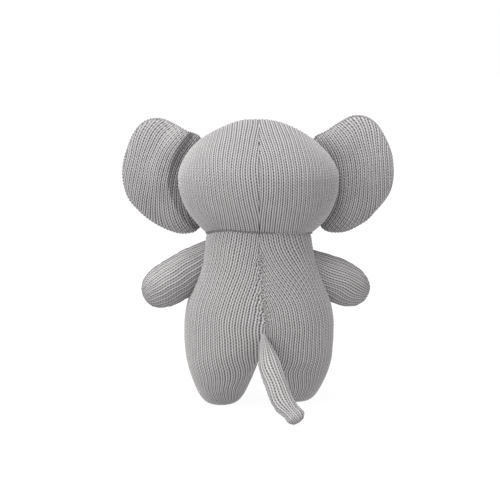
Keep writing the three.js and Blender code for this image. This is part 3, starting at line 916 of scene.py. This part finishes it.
KNIT_HIGH = (0.525, 0.51, 0.51, 1.0)
# Painted shade: the near-black colour for the holes between stitch columns stands in for the shade that
# falls there.
KNIT_HOLE_PAINTED_SHADE = (0.012, 0.011, 0.012, 1.0)
knit = knit_material("grey_knit", KNIT_HIGH, KNIT_HOLE_PAINTED_SHADE)
thread = yarn_material("grey_thread", (0.44, 0.43, 0.425, 1.0), 0.8)
# Painted shade: the neck thread is made dark grey to stand in for the shade in the crease under the head.
neck_crease_shade_yarn = yarn_material("thread_painted_with_neck_crease_shade", (0.17, 0.165, 0.165, 1.0), 0.8)
eye_thread = yarn_material("black_eye_thread", (0.03, 0.028, 0.028, 1.0), 0.5)


def add_body(side):
    skin = body_half(side)
    dress(skin, knit)
    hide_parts(f"body_panel_{side}", f"leg_cover_{side}", f"leg_filling_{side}")
    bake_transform(skin)
    return skin


def add_head(side):
    skin = head_half(side)
    dress(skin, knit)
    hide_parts(f"head_panel_{side}")
    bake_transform(skin)
    return skin


def add_arm(side):
    skin = arm(side)
    dress(skin, knit)
    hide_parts(f"arm_cover_{side}", f"arm_filling_{side}")
    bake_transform(skin)


def bend_at_ear_root(piece):
    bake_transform(piece)


def add_ear(side):
    for layer in ("back", "front"):
        panel = ear_panel(side, layer)
        dress(panel, knit)
        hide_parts(f"ear_{layer}_{side}")
        bend_at_ear_root(panel)


def add_ear_rim(side):
    rim = ear_rim(side)
    dress(rim, knit)
    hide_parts(f"ear_wadding_{side}")
    bend_at_ear_root(rim)


def add_eye(side):
    dome = eye(side)
    dress(dome, eye_thread)
    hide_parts(f"eye_{side}")
    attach(dome, "head")


def add_trunk():
    skin = trunk()
    dress(skin, knit)
    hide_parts("trunk_cover", "trunk_filling")
    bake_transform(skin)


def add_tail():
    skin = tail()
    dress(skin, knit)
    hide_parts("tail_cover", "tail_filling")
    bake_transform(skin)


def add_threads():
    stitches = closing_stitches()
    dress(stitches, thread)
    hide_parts("closing_seam_thread")
    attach(stitches, "torso")
    crease = neck_thread()
    dress(crease, neck_crease_shade_yarn)
    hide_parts("neck_seam_thread")
    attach(crease, "head")


bodies, heads = {}, {}
for side in SIDES:
    bodies[side] = add_body(side)
    heads[side] = add_head(side)
    add_arm(side)
    add_ear(side)
    add_eye(side)
    add_ear_rim(side)
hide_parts("body_filling")
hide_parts("head_filling")
add_trunk()
add_tail()
add_threads()


# ---------------------------------------------------------------- floor, light and camera


def add_floor():
    """A wide white floor that glows as the photo's white ground does."""
    mesh = bpy.data.meshes.new("floor")
    size = 60.0
    mesh.from_pydata(
        [(-size, -size, 0), (size, -size, 0), (size, size, 0), (-size, size, 0)], [], [(0, 1, 2, 3)]
    )
    floor = bpy.data.objects.new("floor", mesh)
    bpy.context.scene.collection.objects.link(floor)
    material, tree, shader = new_material("floor_white")
    shader.inputs["Base Color"].default_value = (0.06, 0.06, 0.06, 1.0)
    shader.inputs["Roughness"].default_value = 0.9
    shader.inputs["Specular IOR Level"].default_value = 0.0
    shader.inputs["Emission Color"].default_value = (1, 1, 1, 1)
    shader.inputs["Emission Strength"].default_value = 0.95
    floor.data.materials.append(material)


def add_sun(name, direction, power, softness_deg):
    """A soft, even light that comes from a direction."""
    data = bpy.data.lights.new(name, "SUN")
    data.energy = power
    data.angle = math.radians(softness_deg)
    lamp = bpy.data.objects.new(name, data)
    lamp.rotation_euler = Vector(direction).to_track_quat("Z", "Y").to_euler()
    bpy.context.scene.collection.objects.link(lamp)


def add_world():
    """White to the camera, and a softer white as light."""
    world = bpy.data.worlds.new("studio")
    bpy.context.scene.world = world
    world.use_nodes = True
    tree = world.node_tree
    tree.nodes.clear()
    output = tree.nodes.new("ShaderNodeOutputWorld")
    path = tree.nodes.new("ShaderNodeLightPath")
    seen = tree.nodes.new("ShaderNodeBackground")
    seen.inputs[0].default_value = (1, 1, 1, 1)
    seen.inputs[1].default_value = 1.0
    lit = tree.nodes.new("ShaderNodeBackground")
    lit.inputs[0].default_value = (1, 1, 1, 1)
    lit.inputs[1].default_value = 0.7
    mix = tree.nodes.new("ShaderNodeMixShader")
    tree.links.new(path.outputs["Is Camera Ray"], mix.inputs[0])
    tree.links.new(lit.outputs[0], mix.inputs[1])
    tree.links.new(seen.outputs[0], mix.inputs[2])
    tree.links.new(mix.outputs[0], output.inputs[0])


def add_camera():
    """Behind the elephant and a little above it, as in the photo."""
    data = bpy.data.cameras.new("camera")
    camera = bpy.data.objects.new("camera", data)
    data.sensor_width = 36
    data.lens = 36 / (VIEW_SPAN / VIEW_DISTANCE)
    data.clip_start = 0.01
    rise = math.radians(VIEW_HEIGHT_DEG)
    aim = Vector(AIM)
    camera.location = aim + VIEW_DISTANCE * Vector((0, math.cos(rise), math.sin(rise)))
    camera.rotation_euler = (aim - camera.location).to_track_quat("-Z", "Y").to_euler()
    bpy.context.scene.collection.objects.link(camera)
    bpy.context.scene.camera = camera


bpy.context.scene.view_settings.view_transform = "Standard"
add_floor()
add_world()
add_sun("key", (0.85, 0.35, 0.40), 0.9, 35)
add_sun("front", (0.42, 0.65, 0.70), 1.2, 40)
add_sun("top", (0.12, 0.15, 1.0), 2.2, 40)
add_camera()
